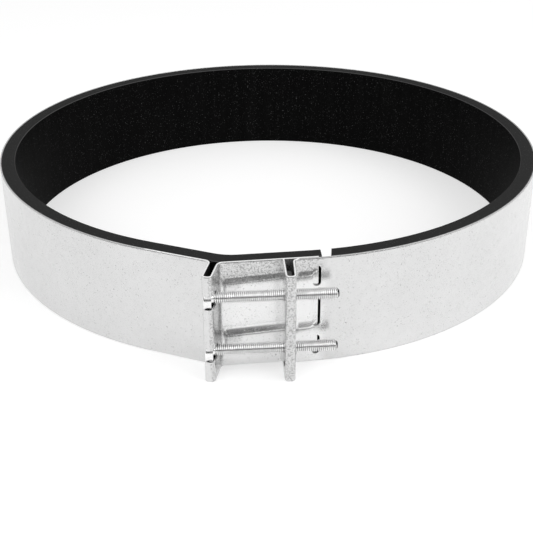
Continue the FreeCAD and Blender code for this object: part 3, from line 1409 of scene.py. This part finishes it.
@dataclass
class ClampScrew:
    """A screw with a rolled thread, a low round head and a hexagon socket, in its node's box."""

    body: Body
    low: Vector
    high: Vector
    diameter: float = 6.0
    pitch: float = 1.0
    thread_depth: float = 0.61
    root_edge: float = 0.04
    thread_marks: tuple[float, ...] = (0.0, 0.26, 0.50, 0.63, 0.76)
    tip_radius: float = 1.6
    head_height: float = 4.0
    head_edge: float = 0.8
    seat_edge: float = 0.15
    socket_width: float = 4.0
    socket_depth: float = 2.2
    socket_edge: float = 0.25
    socket_floor: float = 0.2
    socket_corner: float = 1.22
    neck: float = 0.4
    seat_inset: float = 0.1
    neck_inset: float = 0.3
    run_in: float = 1.2
    sides: int = 48
    edge_degrees: float = 28.0

    def __post_init__(self) -> None:
        """Work out the screw's axis and its places along it, in millimetres."""
        self.axis = ((self.low.y + self.high.y) / MM / 2, (self.low.z + self.high.z) / MM / 2)
        self.head_radius = (self.high.z - self.low.z) / MM / 2
        self.seat = self.low.x / MM + self.head_height
        self.start = self.seat + self.neck
        self.tip = self.high.x / MM
        self.neck_radius = self.diameter / 2 - self.neck_inset

    def _axial_rows(self) -> list[tuple[float, float, bool]]:
        """Rows from the socket's floor over the head to the thread.

        Returns:
            The place, the radius and whether the row is a hexagon, of each.
        """
        top, flat, wide = self.seat - self.head_height, self.socket_width / 2, self.head_radius
        floor = top + self.socket_depth
        rows = [(floor, flat * self.socket_floor, True), (floor - self.socket_edge, flat, True)]
        rows += [(top + self.socket_edge, flat, True), (top, flat * self.socket_corner, False)]
        corner = complex(top + self.head_edge, wide - self.head_edge)
        rows += [(point.real, point.imag, False) for point in arc(corner, self.head_edge, 2, -1, 5)]
        rows += [(self.seat - self.seat_edge, wide, False), (self.seat, wide - self.seat_edge, False)]
        rows += [(self.seat, self.diameter / 2 - self.seat_inset, False)]
        return rows + [(self.start, self.neck_radius, False)]

    def _profile(self) -> list[Span]:
        """One pitch of the thread.

        Returns:
            Places along it, in pitches, and radii.
        """
        crest, root = self.diameter / 2, self.diameter / 2 - self.thread_depth
        edge = root + self.root_edge
        return [*zip(self.thread_marks, (crest, crest, edge, root, edge))]

    def _hexagon(self, half_width: float, side: int) -> float:
        """Radius of a hexagon, at one side's angle."""
        return half_width / math.cos(math.remainder(math.tau * side / self.sides, math.pi / 3))

    def _thread_point(self, row: int, side: int) -> Span:
        """Where a point of the thread lies, which climbs one pitch a turn.

        Args:
            row: its row, counted from a pitch before the start.
            side: its side.

        Returns:
            Its place along the screw and its radius.
        """
        profile = self._profile()
        turn, step = divmod(row, len(profile))
        along, radius = profile[step]
        climbed = self.pitch * (turn - 1 + along + side / self.sides)
        held = min(self.tip, self.start + max(0.0, climbed))
        if held < self.start + self.run_in:
            radius = self.neck_radius + (held - self.start) / self.run_in * (radius - self.neck_radius)
        return held, min(radius, self.tip_radius + self.tip - held)

    def build(self) -> bpy.types.Object:
        """Make the screw.

        Returns:
            The screw.
        """
        sides, climb = self.sides, len(self._profile())
        rows = [
            [(x, self._hexagon(radius, side) if six else radius) for side in range(sides)]
            for x, radius, six in self._axial_rows()
        ]
        plain = len(rows)
        last = (math.ceil((self.tip - self.start) / self.pitch) + 3) * climb
        rows += [[self._thread_point(row, side) for side in range(sides)] for row in range(last + 1)]
        points = []
        for row in rows:
            for side, (x, radius) in enumerate(row):
                spoke = towards(math.tau * side / sides) * radius
                points.append((x, self.axis[0] + spoke.real, self.axis[1] + spoke.imag))
        faces = []
        for row in range(len(rows) - 1):
            for side in range(sides):
                following = (side + 1) % sides
                # The last side of a row of the thread meets the first side of the row a pitch further on
                jump = climb if row >= plain and following == 0 else 0
                if row + 1 + jump < len(rows):
                    faces.append([
                        row * sides + side, (row + jump) * sides + following,
                        (row + 1 + jump) * sides + following, (row + 1) * sides + side,
                    ])
        faces.append([*range(sides)])
        finish = ZincFinish(
            name=self.body.value + "_zinc", axis=self.axis, thread_radius=self.diameter / 2, tip=self.tip,
        )
        piece = mesh_object(self.body.value + "_threaded", points, faces, [finish.material()])
        with opened(piece.data) as form:
            bmesh.ops.dissolve_degenerate(form, dist=MERGE * MM, edges=form.edges)
            open_edges = [edge for edge in form.edges if len(edge.link_faces) < 2]
            bmesh.ops.holes_fill(form, edges=open_edges, sides=0)
            bmesh.ops.recalc_face_normals(form, faces=form.faces)
        shade(piece, self.edge_degrees)
        return piece


@dataclass(frozen=True)
class SoftLamp:
    """A square lamp that shines at the clamp: place and side in metres, power in watts."""

    name: str
    place: Triple
    side: float
    power: float

    def build(self) -> None:
        """Make the lamp."""
        data = bpy.data.lights.new(self.name, "AREA")
        data.size, data.energy = self.side, self.power
        lamp = bpy.data.objects.new(self.name, data)
        lamp.location = self.place
        lamp.rotation_euler = (-Vector(self.place)).to_track_quat("-Z", "Y").to_euler()
        bpy.context.scene.collection.objects.link(lamp)


@dataclass
class Studio:
    """The pale floor, the soft light, the dark flags and the camera."""

    camera_mm: Triple = (-42.315, -604.672, 287.37)
    heading_deg: float = 3.9
    pitch_deg: float = 27.74
    roll_deg: float = -0.2636
    lens_mm: float = 67.998
    sensor_mm: float = 36.0
    clip_m: Span = (0.01, 20.0)
    lamps: tuple[SoftLamp, ...] = (
        SoftLamp("key", (-0.9, -1.1, 1.6), 1.4, 12.0), SoftLamp("fill", (1.2, -0.8, 1.1), 1.2, 11.0),
    )
    white: Colour = grey(1.0)
    floor_reach: float = 6000.0
    floor_drop: float = 0.2
    floor_colour: Colour = grey(0.66)
    floor_glow: float = 0.44
    world_strength: float = 0.62
    wall_radius: float = 640.0
    wall_height: float = 165.0
    wall_sides: int = 96
    strip_across: Span = (-32.0, 24.0)
    strip_out: Span = (-171.0, -165.6)
    strip_height: float = 0.2
    flag_colour: Colour = grey(0.01)
    flag_nearest: float = 9.0

    def build(self) -> None:
        """Make the floor, the world, the flags, the lamps and the camera."""
        self._floor()
        self._world()
        self._flags()
        for lamp in self.lamps:
            lamp.build()
        self._camera()

    def _floor(self) -> None:
        """Make a pale floor that shows white and keeps the clamp's shadow."""
        made, graph = new_material("pale_floor")
        strength = graph.backdrop_rays() * self.floor_glow
        matt = graph.node("ShaderNodeBsdfDiffuse", {"Color": self.floor_colour})
        glow = graph.node("ShaderNodeEmission", {"Color": self.white, "Strength": strength})
        both = graph.node("ShaderNodeAddShader", {0: graph.wire(matt), 1: graph.wire(glow)})
        graph.node("ShaderNodeOutputMaterial", {"Surface": graph.wire(both)})
        corners = arc(0j, self.floor_reach * math.sqrt(2.0), 0.5, 4, 4)[:-1]
        points = [(corner.real, corner.imag, 0.0) for corner in corners]
        floor = mesh_object("floor", points, [[0, 1, 2, 3]], [made])
        if floor.data.polygons[0].normal.z < 0:
            floor.data.flip_normals()
        floor.location.z = -self.floor_drop * MM

    def _world(self) -> None:
        """Make even soft light, which shows as plain white behind the clamp."""
        world = bpy.data.worlds.new("studio")
        world.use_nodes = True
        bpy.context.scene.world = world
        graph = Graph(world.node_tree)
        strength = graph.backdrop_rays() * (1.0 - self.world_strength) + self.world_strength
        background = graph.node("ShaderNodeBackground", {"Color": self.white, "Strength": strength})
        graph.node("ShaderNodeOutputWorld", {"Surface": graph.wire(background)})

    def _flags(self) -> None:
        """Make two dark flags that only the metal mirrors: a low wall all round, and a strip on the floor at
        the lap's foot, which is a painted shadow.
        """
        made, graph = new_material("dark_flag")
        cloth = graph.node("ShaderNodeEmission", {"Color": self.flag_colour, "Strength": 1.0})
        clear = graph.node("ShaderNodeBsdfTransparent")
        # The lap, which stands close to the strip, doesn't mirror it
        far = graph.wire(graph.node("ShaderNodeLightPath"), "Ray Length") > self.flag_nearest * MM
        seen = graph.node("ShaderNodeMixShader", {0: far, 1: graph.wire(clear), 2: graph.wire(cloth)})
        graph.node("ShaderNodeOutputMaterial", {"Surface": graph.wire(seen)})
        ring = arc(0j, self.wall_radius, 0, 4, self.wall_sides)[:-1]
        wall = [(point.real, point.imag, z) for z in (0.0, self.wall_height) for point in ring]
        # The strip is a painted shadow: it stands for the clamp's shadow on the floor at the lap's foot
        (left, right), (low, high), z = self.strip_across, self.strip_out, self.strip_height
        strip = [(left, low, z), (right, low, z), (right, high, z), (left, high, z)]
        for name, points, faces in (
            ("flag_wall", wall, side_faces(1, self.wall_sides)), ("painted_shadow_strip", strip, [[0, 1, 2, 3]]),
        ):
            flag = mesh_object(name, points, faces, [made])
            flag.visible_camera = flag.visible_diffuse = False
            flag.visible_shadow = flag.visible_transmission = False

    def _camera(self) -> None:
        """Make the camera, where the fitted view puts it."""
        heading, pitch = math.radians(self.heading_deg), math.radians(self.pitch_deg)
        roll = math.radians(self.roll_deg)
        data = bpy.data.cameras.new("camera")
        data.lens, data.sensor_width = self.lens_mm, self.sensor_mm
        data.clip_start, data.clip_end = self.clip_m
        camera = bpy.data.objects.new("camera", data)
        forward = Vector((
            math.sin(heading) * math.cos(pitch), math.cos(heading) * math.cos(pitch), -math.sin(pitch),
        ))
        right = Vector((math.cos(heading), -math.sin(heading), 0.0))
        up = right.cross(forward)
        across = right * math.cos(roll) + up * math.sin(roll)
        upward = up * math.cos(roll) - right * math.sin(roll)
        axes = Matrix((across, upward, -forward)).transposed()
        camera.matrix_world = Matrix.Translation(Vector(self.camera_mm) * MM) @ axes.to_4x4()
        bpy.context.scene.collection.objects.link(camera)
        bpy.context.scene.camera = camera


def install(piece: bpy.types.Object, body: Body, node: str) -> None:
    """Put a piece on its body, in the place of a node.

    Args:
        piece: the piece.
        body: the body that it rides on.
        node: the node that it stands for.
    """
    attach(piece, body.value)
    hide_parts(node)
    log.info("%s: %d faces, on %s", piece.name, len(piece.data.polygons), body.value)


def main() -> None:
    """Build the clamp's pieces in order, and the studio round them."""
    logging.basicConfig(level=logging.INFO, format="%(message)s")
    ring = Ring()
    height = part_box("band")[1].z / MM
    install(SteelBand(ring, height).build(), Body.CLAMP, "band")
    install(RubberLining(ring, height).build(), Body.CLAMP, "lining")
    for body in (Body.LOWER_SCREW, Body.UPPER_SCREW):
        install(ClampScrew(body, *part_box(body.value)).build(), body, body.value)
    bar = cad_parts["nut_bar"]
    bar.data.materials.clear()
    # The bar's dark greys are painted shade: it stands in shadow inside the right ear
    bar.data.materials.append(ZincFinish(grey(0.16), grey(0.08), name="bar_zinc_painted_shade", rough=0.35).material())
    log.info("%s: the solid as it is, in %s", bar.name, Slot.BAR.value)
    Studio().build()
    view = bpy.context.scene.view_settings
    view.view_transform = "Standard"


if __name__ == "__main__":
    main()
